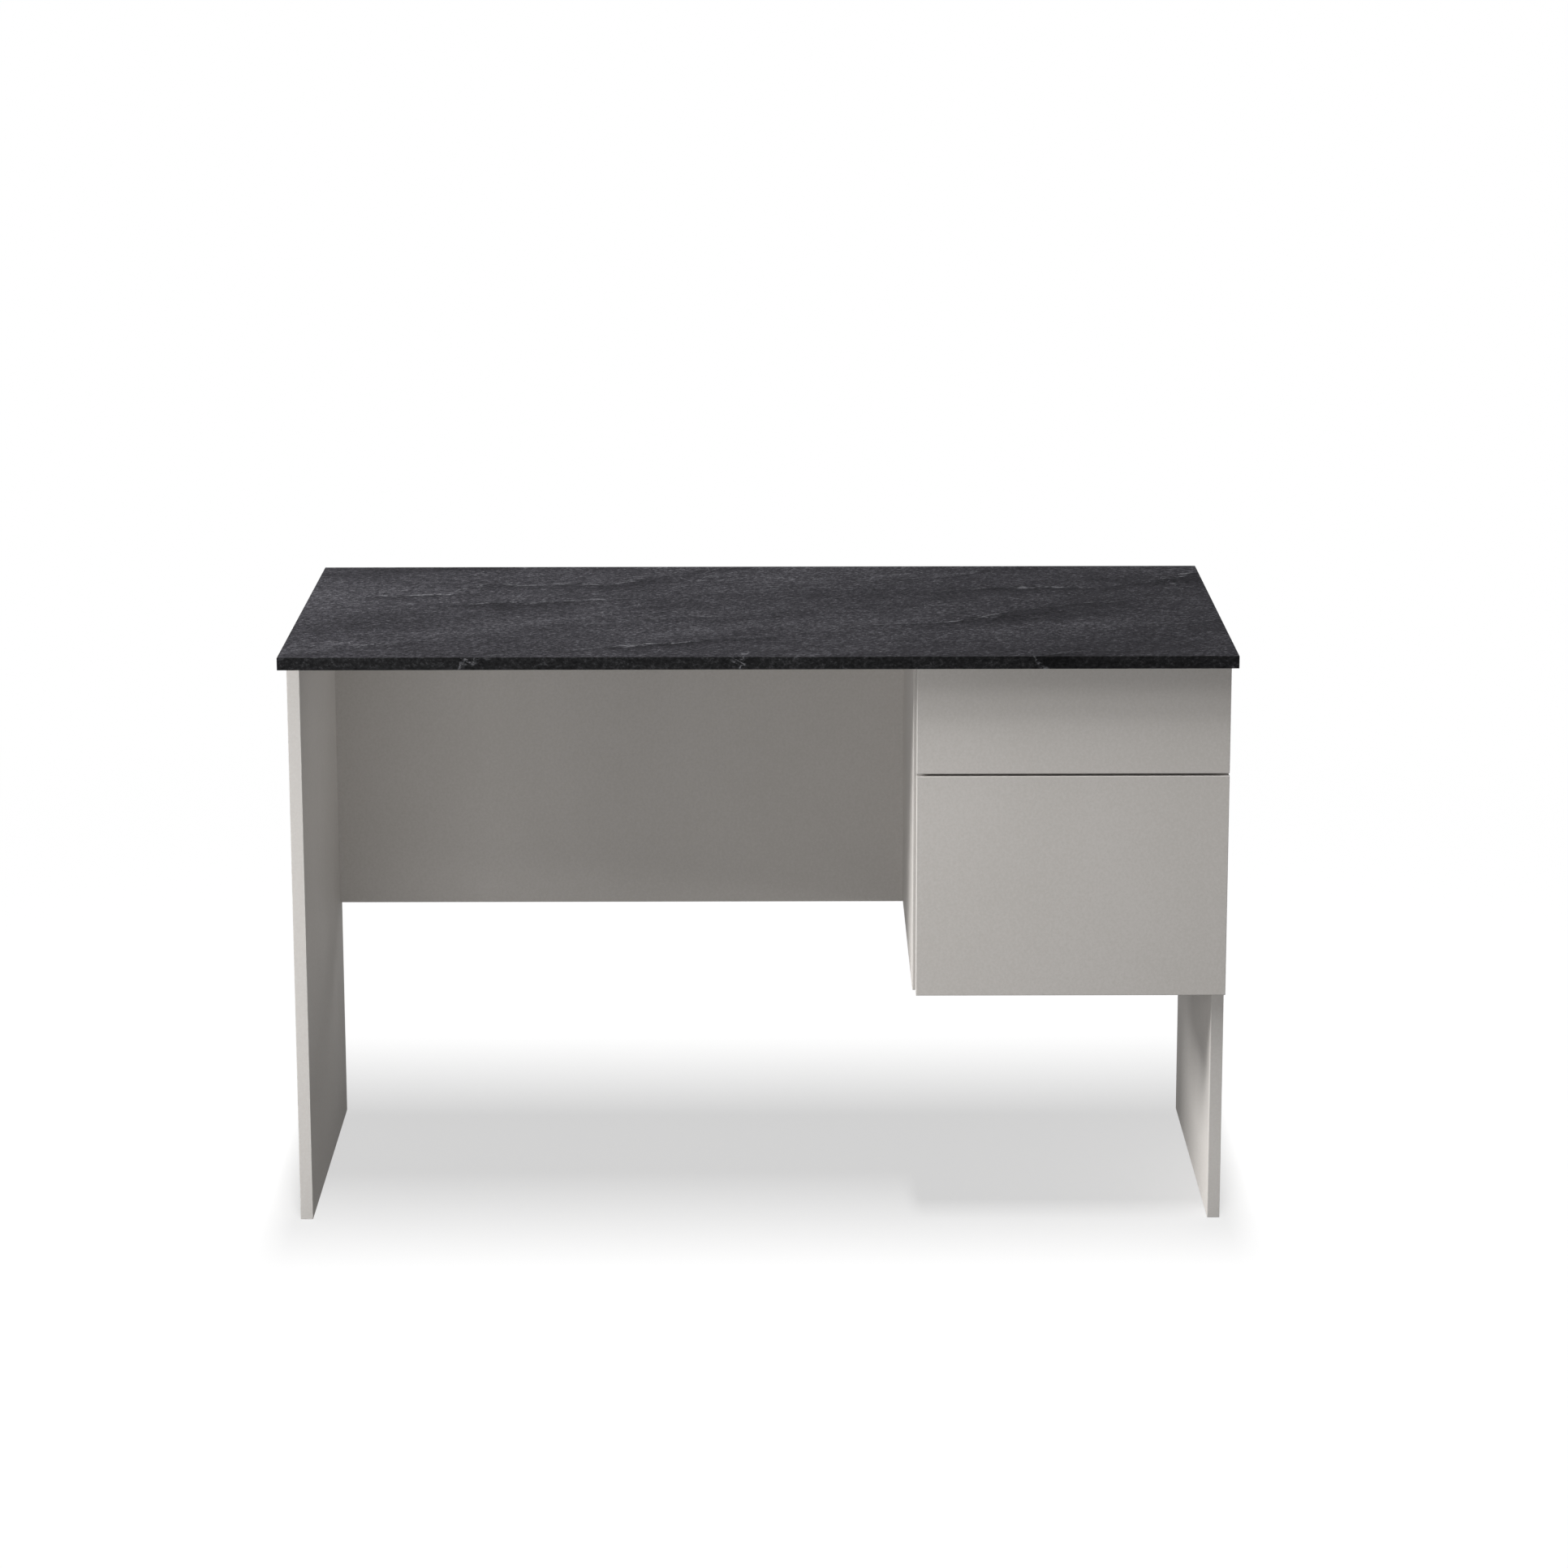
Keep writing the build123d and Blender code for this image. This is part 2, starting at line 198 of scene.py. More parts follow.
def slateDecor(name, look):
    material, f = newFinish(name)
    noise, limits, strength = look["noise"], look["limits"], look["strength"]
    alongLayers = f.place(turn=look["layerTurn"])
    askew = f.place(start=f.place(look["grainStretch"], start=alongLayers), **offGrid)
    cloud = f.noise(noise["cloud"], alongLayers)
    mottle = f.noise(noise["mottle"], alongLayers)
    grain = f.noise(noise["grain"], askew)
    speck = f.noise(noise["speck"], askew)
    fibreMask = f.ease(f.noise(noise["fibrePatch"]), *limits["fibrePatch"])
    fibre = f.ease(f.noise(noise["fibre"], alongLayers), *limits["fibre"]) * fibreMask
    wobble = f.noise(noise["wobble"], alongLayers) * look["layerWobble"]
    layer = (f.axis(alongLayers, "Y") * look["layersPerMetre"] + wobble) % 1.0
    layerMask = f.ease(f.noise(noise["layerPatch"], alongLayers), *limits["layerPatch"])
    broken = f.ease(f.noise(noise["broken"], alongLayers), *limits["broken"])
    shadeBand = f.ease(layer, *limits["shadeBand"]) * layerMask
    veinLine = f.ease(layer, *limits["veinLine"]) * layerMask * broken
    hair = f.noise(noise["hair"], f.place(turn=look["hairTurn"], start=alongLayers))
    hairMask = f.ease(f.noise(noise["hairPatch"]), *limits["hairPatch"]) * broken
    hairLine = (1 - f.ease(abs(hair - 0.5), *limits["hairLine"])) * hairMask
    tone = 0.5 + grain.swing(strength["grain"]) + mottle.swing(strength["mottle"])
    tone = tone + cloud.swing(strength["cloud"]) + speck.swing(strength["speck"])
    tone = tone - shadeBand * strength["shade"] + fibre * strength["fibre"]
    colour = f.blend(f.ease(tone, *limits["stone"]), look["deep"], look["stone"])
    colour = f.blend(f.ease(tone, *limits["dust"]), colour, look["dust"])
    lines = veinLine * strength["vein"] + hairLine * strength["hair"]
    colour = f.blend(lines * f.ease(grain, *limits["veinGrain"]), colour, look["vein"])
    unevenness = mottle.swing(strength["mottleRoughness"]) + grain.swing(strength["grainRoughness"])
    height = grain * strength["grainHeight"] + speck * strength["speckHeight"]
    height = height + layer * layerMask * strength["layerHeight"]
    f.surface({
        "Base Color": colour,
        "Roughness": look["roughness"] + unevenness,
        "Specular IOR Level": look["shine"],
        "Normal": f.bump(height, *look["bump"]),
    })
    return material


# Light grey board: melamine with a fine pearl emboss, and its smoother edge band
boardLook = {
    "base": paint(204, 200, 196), "shade": paint(196, 192, 187),
    "roughness": 0.66, "shine": 0.05, "emboss": 0.22, "embossDepth": 0.0002,
    "noise": {
        "cloud": {"scale": 4.0, "detail": 4, "roughness": 0.6},
        "speck": {"scale": 300, "detail": 3, "roughness": 0.7},
        "pearl": {"scale": 1500, "detail": 2, "roughness": 0.6},
        "rub": {"stretch": (1, 1, 0.4), "scale": 14, "detail": 4, "roughness": 0.65},
    },
    "strength": {
        "cloud": 0.9, "speck": 2.2, "rubRoughness": 0.22, "speckRoughness": 0.1, "speckHeight": 0.6,
    },
}
bandLook = dict(
    boardLook, base=paint(203, 200, 196), shade=paint(198, 194, 190),
    roughness=0.58, shine=0.08, emboss=0.08)


def greyBoard(name, look):
    material, f = newFinish(name)
    noise, strength = look["noise"], look["strength"]
    askew = f.place(**offGrid)
    cloud = f.noise(noise["cloud"])
    speck = f.noise(noise["speck"], askew)
    pearl = f.noise(noise["pearl"], askew)
    rub = f.noise(noise["rub"])
    share = 0.5 + cloud.swing(strength["cloud"]) + speck.swing(strength["speck"])
    unevenness = rub.swing(strength["rubRoughness"]) + speck.swing(strength["speckRoughness"])
    f.surface({
        "Base Color": f.blend(f.ease(share), look["shade"], look["base"]),
        "Roughness": look["roughness"] + unevenness,
        "Specular IOR Level": look["shine"],
        "Normal": f.bump(pearl + speck * strength["speckHeight"], look["emboss"], look["embossDepth"]),
    })
    return material


# Drawer box board: pale foil with a linen emboss
foilLook = {
    "base": paint(202, 199, 194), "shade": paint(190, 187, 181),
    "roughness": 0.48, "shine": 0.35, "bump": (0.3, 0.0002), "threadPitch": 0.0011,
    "noise": {
        "jitter": {"scale": 160, "detail": 2},
        "weftSlub": {"stretch": (1, 1, 12), "scale": 24, "detail": 3, "roughness": 0.6},
        "warpSlub": {"stretch": (12, 12, 1), "scale": 24, "detail": 3, "roughness": 0.6},
    },
    "strength": {"jitter": 0.9, "slub": 1.2, "thread": 0.3, "slubRoughness": 0.2},
}


def linenFoil(name, look):
    material, f = newFinish(name)
    noise, strength = look["noise"], look["strength"]
    flat = f.place()
    threads = 1 / look["threadPitch"]
    jitter = f.noise(noise["jitter"]) * strength["jitter"]
    along = f.axis(flat, "X") + f.axis(flat, "Y")
    weft = abs((along * threads + jitter) % 1.0 - 0.5)
    warp = abs((f.axis(flat, "Z") * threads + jitter) % 1.0 - 0.5)
    slub = f.noise(noise["weftSlub"]) + f.noise(noise["warpSlub"])  # two noises, so its middle is 1
    share = 0.5 + slub.swing(strength["slub"], 1.0) + (weft + warp).swing(strength["thread"])
    f.surface({
        "Base Color": f.blend(f.ease(share), look["shade"], look["base"]),
        "Roughness": look["roughness"] + slub.swing(strength["slubRoughness"], 1.0),
        "Specular IOR Level": look["shine"],
        "Normal": f.bump(weft + warp + slub, *look["bump"]),
    })
    return material


# Hardboard: lacquered above, brown fibre below
hardboardLook = {
    "lacquer": paint(206, 203, 198), "dulled": paint(197, 194, 188),
    "fibre": paint(128, 96, 66), "fibreDark": paint(92, 66, 43),
    "roughness": 0.75, "lacquerGloss": 0.35, "shine": 0.35, "bump": (0.3, 0.0004),
    "noise": {
        "fibre": {"stretch": (1, 0.35, 1), "scale": 420, "detail": 4, "roughness": 0.7, "distortion": 0.6},
        "dust": {"scale": 60, "detail": 4, "roughness": 0.65},
    },
    "limits": {"above": (0.2, 0.6), "fibre": (0.32, 0.68), "dulled": (0.3, 0.8)},
    "strength": {"fibre": 0.7, "dust": 0.3, "dustRoughness": 0.15, "fibreHeight": 1.1, "dustHeight": 0.2},
}


def hardboard(name, look):
    material, f = newFinish(name)
    noise, limits, strength = look["noise"], look["limits"], look["strength"]
    facing = f.axis(f.node("ShaderNodeTexCoord", output="Normal"), "Z")
    above = f.ease(facing, *limits["above"])
    fibre = f.noise(noise["fibre"])
    dust = f.noise(noise["dust"])
    fibreShare = f.ease(fibre * strength["fibre"] + dust * strength["dust"], *limits["fibre"])
    brown = f.blend(fibreShare, look["fibreDark"], look["fibre"])
    white = f.blend(f.ease(dust, *limits["dulled"]), look["lacquer"], look["dulled"])
    height = fibre * (strength["fibreHeight"] - above) + dust * strength["dustHeight"]
    roughness = look["roughness"] - above * look["lacquerGloss"] + dust.swing(strength["dustRoughness"])
    f.surface({
        "Base Color": f.blend(above, brown, white),
        "Roughness": roughness,
        "Specular IOR Level": look["shine"],
        "Normal": f.bump(height, *look["bump"]),
    })
    return material


# Metals: rolled steel of the slides and their cages, plated screws, cast zinc cams
metalLook = {
    "bloom": {"scale": 70, "detail": 4, "roughness": 0.65}, "limits": (0.2, 0.8), "bump": (0.08, 0.0001),
    "strength": {"streak": 1.1, "bloom": 0.5, "bloomRoughness": 0.12, "streakRoughness": 0.12},
}
steelLook = dict(
    metalLook, light=paint(200, 202, 204), dark=paint(178, 180, 183), roughness=0.34,
    streak={"stretch": (1, 0.03, 1), "scale": 380, "detail": 3, "roughness": 0.6})
cageLook = dict(
    metalLook, light=paint(170, 170, 168), dark=paint(120, 120, 118), roughness=0.38,
    streak={"stretch": (1, 0.05, 1), "scale": 500, "detail": 3, "roughness": 0.6})
plateLook = dict(
    metalLook, light=paint(206, 207, 206), dark=paint(160, 161, 160), roughness=0.3,
    streak={"scale": 300, "detail": 3, "roughness": 0.6})
zincLook = dict(
    metalLook, light=paint(178, 180, 182), dark=paint(126, 128, 131), roughness=0.46,
    streak={"scale": 650, "detail": 3, "roughness": 0.6})


def bareMetal(name, look):
    material, f = newFinish(name)
    strength = look["strength"]
    streak = f.noise(look["streak"])
    bloom = f.noise(look["bloom"])
    share = streak.swing(strength["streak"]) + bloom.swing(strength["bloom"]) + 0.5
    unevenness = bloom.swing(strength["bloomRoughness"]) + streak.swing(strength["streakRoughness"])
    f.surface({
        "Base Color": f.blend(f.ease(share, *look["limits"]), look["dark"], look["light"]),
        "Metallic": 1.0,
        "Roughness": look["roughness"] + unevenness,
        "Normal": f.bump(streak, *look["bump"]),
    })
    return material


# Black plastic of the push units: fine spark texture with a little bloom
plasticLook = {
    "base": paint(26, 26, 27), "worn": paint(44, 44, 45),
    "roughness": 0.52, "shine": 0.45, "bump": (0.25, 0.0002),
    "spark": {"scale": 1400, "detail": 2, "roughness": 0.6},
    "bloom": {"scale": 90, "detail": 3, "roughness": 0.6},
    "limits": (0.35, 0.75), "strength": {"bloom": 0.6, "spark": 0.4, "bloomRoughness": 0.25},
}


def mouldedPlastic(name, look):
    material, f = newFinish(name)
    strength = look["strength"]
    spark = f.noise(look["spark"])
    bloom = f.noise(look["bloom"])
    share = f.ease(bloom * strength["bloom"] + spark * strength["spark"], *look["limits"])
    f.surface({
        "Base Color": f.blend(share, look["base"], look["worn"]),
        "Roughness": look["roughness"] + bloom.swing(strength["bloomRoughness"]),
        "Specular IOR Level": look["shine"],
        "Normal": f.bump(spark, *look["bump"]),
    })
    return material


# Beech of the dowels: long fibres with short rays across
beechLook = {
    "pale": paint(214, 178, 134), "ray": paint(178, 136, 92), "roughness": 0.6, "bump": (0.3, 0.0003),
    "fibre": {"stretch": (1, 0.2, 0.2), "scale": 500, "detail": 4, "roughness": 0.65},
    "rays": {"stretch": (0.3, 1, 1), "scale": 260, "detail": 2},
    "limits": (0.3, 0.7), "strength": {"fibre": 0.7, "rays": 0.3, "fibreRoughness": 0.3},
}


def beech(name, look):
    material, f = newFinish(name)
    strength = look["strength"]
    fibre = f.noise(look["fibre"])
    share = f.ease(fibre * strength["fibre"] + f.noise(look["rays"]) * strength["rays"], *look["limits"])
    f.surface({
        "Base Color": f.blend(share, look["ray"], look["pale"]),
        "Roughness": look["roughness"] + fibre.swing(strength["fibreRoughness"]),
        "Normal": f.bump(fibre, *look["bump"]),
    })
    return material


finishes = {
    "slate_decor_board": slateDecor("slateDecor", slateLook),
    "slate_decor_edging": slateDecor("slateEdging", slateEdgeLook),
    "light_grey_board": greyBoard("greyBoard", boardLook),
    "drawer_box_board": linenFoil("linenFoil", foilLook),
    "drawer_hardboard": hardboard("drawerHardboard", hardboardLook),
    "beech_dowel": beech("beechDowel", beechLook),
    "zinc_cam": bareMetal("castZinc", zincLook),
    "zinc_plated_steel": bareMetal("platedSteel", plateLook),
    "slide_steel": bareMetal("rolledSteel", steelLook),
    "ball_cage_steel": bareMetal("cageSteel", cageLook),
    "black_plastic": mouldedPlastic("blackPlastic", plasticLook),
}
greyBand = greyBoard("greyEdgeBand", bandLook)
for node in nodes.values():
    for slot in node.material_slots:
        slot.material = finishes[slot.material.name]
print("finishes made:", len(finishes) + 1)


# Shared by all pieces, in metres and degrees
meshRules = {
    "touch": 0.00002,  # a point this near a plane lies on it
    "weld": 0.00001,  # points this near become one
    "flatAngle": 0.5,  # faces that meet at less than this become one
    "smoothAngle": 40,  # edges up to this angle shade softly
    "facing": 0.9,  # a normal's share along z, from which its face looks up or down
}


def pick(piece, kind, test):  # selects in edit mode the faces or edges that pass the test
    bpy.ops.mesh.select_mode(type=kind)
    bpy.ops.mesh.select_all(action="DESELECT")
    bpy.ops.object.mode_set(mode="OBJECT")
    for item in piece.data.polygons if kind == "FACE" else piece.data.edges:
        item.select = test(item)
    bpy.ops.object.mode_set(mode="EDIT")


def smoothFaces(piece):  # round edges shade softly, broad faces stay flat
    bpy.ops.object.shade_smooth_by_angle(angle=math.radians(meshRules["smoothAngle"]))
    bpy.ops.object.modifier_add(type="WEIGHTED_NORMAL")
    piece.modifiers[-1].keep_sharp = True
    bpy.ops.object.modifier_apply(modifier=piece.modifiers[-1].name)


# Boards: which edges carry a band or are rounded, and which faces are hidden in a joint
boardShape = {"band": 0.001, "round": 0.0008, "steps": 3}
boardSides = {  # axis, and 0 for its low or 1 for its high end
    "left": (0, 0), "right": (0, 1), "front": (1, 0), "rear": (1, 1), "bottom": (2, 0), "top": (2, 1),
}
boards = {
    "left_side_panel": {"name": "leftSide", "banded": ["front", "rear", "bottom"], "joined": ["top"]},
    "right_side_panel": {"name": "rightSide", "banded": ["front", "rear", "bottom"], "joined": ["top"]},
    "back_panel": {"name": "backPanel", "banded": ["bottom"], "joined": ["left", "right", "top"]},
    "pedestal_partition": {"name": "partition", "banded": ["front", "bottom"], "joined": ["rear", "top"]},
    "pedestal_floor": {"name": "pedestalFloor", "banded": ["front"], "joined": ["left", "right", "rear"]},
}
for drawer in ("upper", "lower"):
    boards[drawer + "_drawer_front"] = {
        "name": drawer + "Front", "banded": ["left", "right", "bottom", "top"], "joined": []}
    for wall in ("left_side", "right_side", "back"):
        boards[f"{drawer}_drawer_{wall}"] = {
            "name": drawer + "Box" + wall.title().replace("_", ""), "banded": ["top"], "joined": []}
    boards[drawer + "_drawer_inner_front"] = {
        "name": drawer + "BoxFront", "banded": ["top"], "joined": ["front"]}


def copyNode(node, name):  # a copy with its triangles merged into whole faces, left in edit mode
    bpy.ops.object.select_all(action="DESELECT")
    piece = bpy.data.objects.new(name, nodes[node].data.copy())
    bpy.context.scene.collection.objects.link(piece)
    bpy.context.view_layer.objects.active = piece
    piece.select_set(True)
    bpy.ops.object.mode_set(mode="EDIT")
    bpy.ops.mesh.select_all(action="SELECT")
    bpy.ops.mesh.customdata_custom_splitnormals_clear()
    bpy.ops.mesh.remove_doubles(threshold=meshRules["weld"])
    bpy.ops.mesh.dissolve_limited(angle_limit=math.radians(meshRules["flatAngle"]))
    return piece


def cutBand(axis, place):  # a line of edges all round, where the band meets the board
    cut, normal = Vector((0, 0, 0)), Vector((0, 0, 0))
    cut[axis] = place
    normal[axis] = 1
    bpy.ops.mesh.select_all(action="SELECT")
    bpy.ops.mesh.bisect(plane_co=cut, plane_no=normal)


def roundBoard(node, board):
    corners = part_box(node)
    planes = {side: corners[end][axis] for side, (axis, end) in boardSides.items()}
    banded, joined = set(board["banded"]), set(board["joined"])

    def onSides(point, reach):
        return {side for side, place in planes.items() if abs(point[boardSides[side][0]] - place) < reach}

    def isOutline(edge):
        ends = [onSides(piece.data.vertices[index].co, meshRules["touch"]) for index in edge.vertices]
        shared = ends[0] & ends[1]
        return len(shared) == 2 and bool(shared & banded) and not shared & joined

    piece = copyNode(node, board["name"])
    hasBand = nodes[node].material_slots[0].material == finishes["light_grey_board"]
    for side in board["banded"] if hasBand else []:
        axis, end = boardSides[side]
        cutBand(axis, planes[side] + (boardShape["band"] if end == 0 else -boardShape["band"]))
    pick(piece, "EDGE", isOutline)
    bpy.ops.mesh.bevel(offset=boardShape["round"], segments=boardShape["steps"], affect="EDGES")
    bpy.ops.object.mode_set(mode="OBJECT")
    smoothFaces(piece)
    if hasBand:
        piece.data.materials.append(greyBand)
        for face in piece.data.polygons:
            face.material_index = 1 if onSides(face.center, boardShape["band"]) & banded else 0
    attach(piece, bodyOf[node])
    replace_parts(piece, node)


for node, board in boards.items():
    roundBoard(node, board)
print("boards rounded and banded:", len(boards))


# Edge band of the top: one ring round the core, with its outer edges eased
topBand = {"thick": 0.001, "round": 0.0007, "steps": 3}


def makeTopBand():
    low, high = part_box("desk_top_edging")

    def isOuter(edge):
        ends = [piece.data.vertices[index].co for index in edge.vertices]
        shared = [axis for axis in range(3) for limit in (low, high)
                  if all(abs(end[axis] - limit[axis]) < meshRules["touch"] for end in ends)]
        return len(shared) == 2

    bpy.ops.object.select_all(action="DESELECT")
    bpy.ops.mesh.primitive_cube_add(size=1, location=(low + high) / 2, scale=high - low)
    piece = bpy.context.object
    piece.name = "topEdging"
    bpy.ops.object.transform_apply(location=True, rotation=True, scale=True)
    bpy.ops.object.mode_set(mode="EDIT")
    pick(piece, "FACE", lambda face: abs(face.normal.z) > meshRules["facing"])
    bpy.ops.mesh.inset(thickness=topBand["thick"])
    bpy.ops.mesh.bridge_edge_loops()
    pick(piece, "EDGE", isOuter)
    bpy.ops.mesh.bevel(offset=topBand["round"], segments=topBand["steps"], affect="EDGES")
    bpy.ops.mesh.select_all(action="SELECT")
    bpy.ops.mesh.normals_make_consistent(inside=False)
    bpy.ops.object.mode_set(mode="OBJECT")
    smoothFaces(piece)
    piece.data.materials.append(finishes["slate_decor_edging"])
    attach(piece, "carcass")
    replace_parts(piece, "desk_top_edging")


makeTopBand()
print("top band made")


# Screws and cam discs, in millimetres: each is turned once, head up at the origin, then copied into place
mm = 0.001
# every screw's thread, with its fall and rise as shares of the pitch
thread = {"fall": 0.35, "rise": 0.7, "plainEnd": 3, "tip": 1, "point": 0.4, "sides": 24}
panScrew = {
    "head": [
        (2.2, 2.3), (2.1, 2.9), (1.75, 3.5), (1.15, 3.88), (0.5, 4.0), (0, 4.0), (0, 2.0), (-1.5, 2.0)],
    "root": 1.5, "crest": 2.0, "pitch": 1.6, "length": 23, "bar": (4.4, 1.0, 1.5),
}
railScrew = dict(panScrew, length=11.5)
flushScrew = {
    "head": [(0, 2.0), (-0.1, 2.15), (-0.9, 1.5), (-1.4, 1.5)],
    "root": 1.1, "crest": 1.5, "pitch": 1.3, "length": 12, "bar": (2.6, 0.6, 0.7),
}
panelScrew = {
    "head": [(0, 4.75), (-0.2, 4.95), (-4, 2.5), (-12, 2.5)],
    "root": 1.9, "crest": 2.5, "pitch": 3.0, "length": 50, "socket": (4.0, 3.0),
}
camDisc = {
    "body": [(0, 7.15), (-0.35, 7.5), (-12.5, 7.5)], "sides": 48, "lip": 0.9, "sink": 0.4, "rim": 0.3,
    "bar": (11, 2, 3), "channel": (7.5, 7.0, 7.0), "channelMiddle": (-3.75, 0, -8),
}
crossTaper = 0.62  # share of its width that a cross recess keeps at its foot
socketPoint = 0.05  # radius at the foot of a hexagon socket


def turned(name, steps, sides):  # a disc drawn down from step to step, each a height and a radius
    (height, radius), *rest = steps
    bpy.ops.object.select_all(action="DESELECT")
    bpy.ops.mesh.primitive_circle_add(
        vertices=sides, radius=radius * mm, fill_type="NGON", location=(0, 0, height * mm))
    piece = bpy.context.object
    piece.name = name
    bpy.ops.object.transform_apply(location=True, rotation=True, scale=True)
    bpy.ops.object.mode_set(mode="EDIT")
    bpy.ops.mesh.select_all(action="SELECT")
    for nextHeight, nextRadius in rest:
        drop = (0, 0, (nextHeight - height) * mm)
        bpy.ops.mesh.extrude_region_move(TRANSFORM_OT_translate={"value": drop})
        bpy.ops.transform.resize(value=(nextRadius / radius, nextRadius / radius, 1))
        height, radius = nextHeight, nextRadius
    bpy.ops.mesh.select_all(action="SELECT")
    bpy.ops.mesh.normals_make_consistent(inside=False)
    bpy.ops.object.mode_set(mode="OBJECT")
    return piece


def addBlock(middle, size):  # in millimetres, to cut with
    bpy.ops.object.select_all(action="DESELECT")
    bpy.ops.mesh.primitive_cube_add(size=mm, location=Vector(middle) * mm, scale=size)
    bpy.ops.object.transform_apply(location=True, rotation=True, scale=True)
    return bpy.context.object


def cutAway(piece, cutter):
    bpy.ops.object.select_all(action="DESELECT")
    bpy.context.view_layer.objects.active = piece
    piece.select_set(True)
    bpy.ops.object.modifier_add(type="BOOLEAN")
    piece.modifiers[-1].object = cutter
    bpy.ops.object.modifier_apply(modifier=piece.modifiers[-1].name)
    bpy.data.objects.remove(cutter)


def cutCross(piece, top, bar):  # two bars that narrow towards their foot
    length, width, depth = bar
    for across, along in ((length, width), (width, length)):
        cutter = addBlock((0, 0, top), (across, along, 2 * depth))
        bpy.ops.object.mode_set(mode="EDIT")
        pick(cutter, "FACE", lambda face: face.normal.z < -meshRules["facing"])
        bpy.ops.transform.resize(value=(crossTaper, crossTaper, 1))
        bpy.ops.object.mode_set(mode="OBJECT")
        cutAway(piece, cutter)


def cutSocket(piece, socket):  # hexagon with a cone at its foot
    sides = 6
    across, depth = socket
    radius = across / 2 / math.cos(math.pi / sides)
    steps = [(depth, radius), (-depth, radius), (-depth - radius / 2, socketPoint)]
    cutAway(piece, turned("socketCutter", steps, sides))


def makeScrew(name, shape):
    steps = list(shape["head"])
    height, pitch, root = steps[-1][0], shape["pitch"], shape["root"]
    while height - pitch > thread["plainEnd"] - shape["length"]:
        steps.append((height - thread["fall"] * pitch, root))
        steps.append((height - thread["rise"] * pitch, root))
        height -= pitch
        steps.append((height, shape["crest"]))
    steps.append((height - thread["tip"], root))
    steps.append((-shape["length"], thread["point"]))
    screw = turned(name, steps, thread["sides"])
    if "bar" in shape:
        cutCross(screw, shape["head"][0][0], shape["bar"])
    else:
        cutSocket(screw, shape["socket"])
    smoothFaces(screw)
    screw.data.materials.append(finishes["zinc_plated_steel"])
    return screw


def makeCam():
    cam = turned("camDisc", camDisc["body"], camDisc["sides"])
    bpy.ops.object.mode_set(mode="EDIT")
    pick(cam, "FACE", lambda face: face.normal.z > meshRules["facing"])
    bpy.ops.mesh.inset(thickness=camDisc["lip"] * mm)
    bpy.ops.transform.translate(value=(0, 0, -camDisc["sink"] * mm))
    bpy.ops.mesh.inset(thickness=camDisc["rim"] * mm)
    bpy.ops.object.mode_set(mode="OBJECT")
    cutCross(cam, 0, camDisc["bar"])
    cutAway(cam, addBlock(camDisc["channelMiddle"], camDisc["channel"]))
    smoothFaces(cam)
    cam.data.materials.append(finishes["zinc_cam"])
    return cam


# one copy at each place, which is a point, the way that the head faces and the way that its side points
def setInto(model, name, places, body):
    bpy.ops.object.select_all(action="DESELECT")
    for point, facing, side in places:
        copy = model.copy()
        copy.data = model.data.copy()
        bpy.context.scene.collection.objects.link(copy)
        turn = Matrix((side, facing.cross(side), facing)).transposed().to_4x4()
        copy.matrix_world = Matrix.Translation(point) @ turn
        copy.select_set(True)
    bpy.context.view_layer.objects.active = copy
    bpy.ops.object.join()
    bpy.ops.object.transform_apply(location=True, rotation=True, scale=True)
    copy.name = name
    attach(copy, body)
    bpy.data.objects.remove(model)
    return copy


right, rearward, upward = Vector((1, 0, 0)), Vector((0, 1, 0)), Vector((0, 0, 1))
drawerScrews = {
    "frontInset": 0.060,  # from the inner faces of the drawer box
    "railInset": 0.036,  # from each end of a moving rail
    "railSheet": 0.001,  # thickness of the rails' steel, which the heads sit on
}


def setFrontScrews(drawer):
    inset = drawerScrews["frontInset"]
    low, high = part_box(drawer + "_drawer_left_side")
    columns = (high.x + inset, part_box(drawer + "_drawer_right_side")[0].x - inset)
    rows = ((low.z + high.z) / 2,) if drawer == "upper" else (low.z + inset, high.z - inset)
    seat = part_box(drawer + "_drawer_inner_front")[1].y
    places = [((x, seat, z), rearward, right) for x in columns for z in rows]
    body = bodyOf[drawer + "_drawer_front"]
    screws = setInto(makeScrew("panScrew", panScrew), drawer + "FrontScrews", places, body)
    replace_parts(screws, drawer + "_drawer_front_screws")


def setRailScrews(drawer):
    onDrawer, onCabinet = [], []
    for side, inwards in (("left", right), ("right", -right)):
        low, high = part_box(f"{drawer}_{side}_drawer_rail")
        middle = (low.z + high.z) / 2
        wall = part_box(f"{drawer}_{side}_cabinet_rail")[0 if side == "left" else 1].x
        web = (high if side == "left" else low).x
        sheet = inwards * drawerScrews["railSheet"]
        for y in (low.y + drawerScrews["railInset"], high.y - drawerScrews["railInset"]):
            onDrawer.append((Vector((web, y, middle)) - sheet, -inwards, upward))
            onCabinet.append((Vector((wall, y, middle)) + sheet, inwards, upward))
    body = bodyOf[drawer + "_drawer_front"]
    setInto(makeScrew("railScrew", railScrew), drawer + "RailScrews", onDrawer, body)
    setInto(makeScrew("flushScrew", flushScrew), drawer + "CabinetRailScrews", onCabinet, "carcass")


for drawer in ("upper", "lower"):
    setFrontScrews(drawer)
    setRailScrews(drawer)
print("drawer and rail screws set")


fittings = {
    "inset": 0.060,  # of screws and lower cams, from the back panel's top and bottom
    "camReach": 0.034,  # from a cam's middle to the board that it draws in
    "topCamFront": 0.205,  # from the side's front edge
    "topCamRear": 0.070,  # from the back panel
}
backLow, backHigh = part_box("back_panel")
backRear = backHigh.y
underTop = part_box("left_side_panel")[1].z


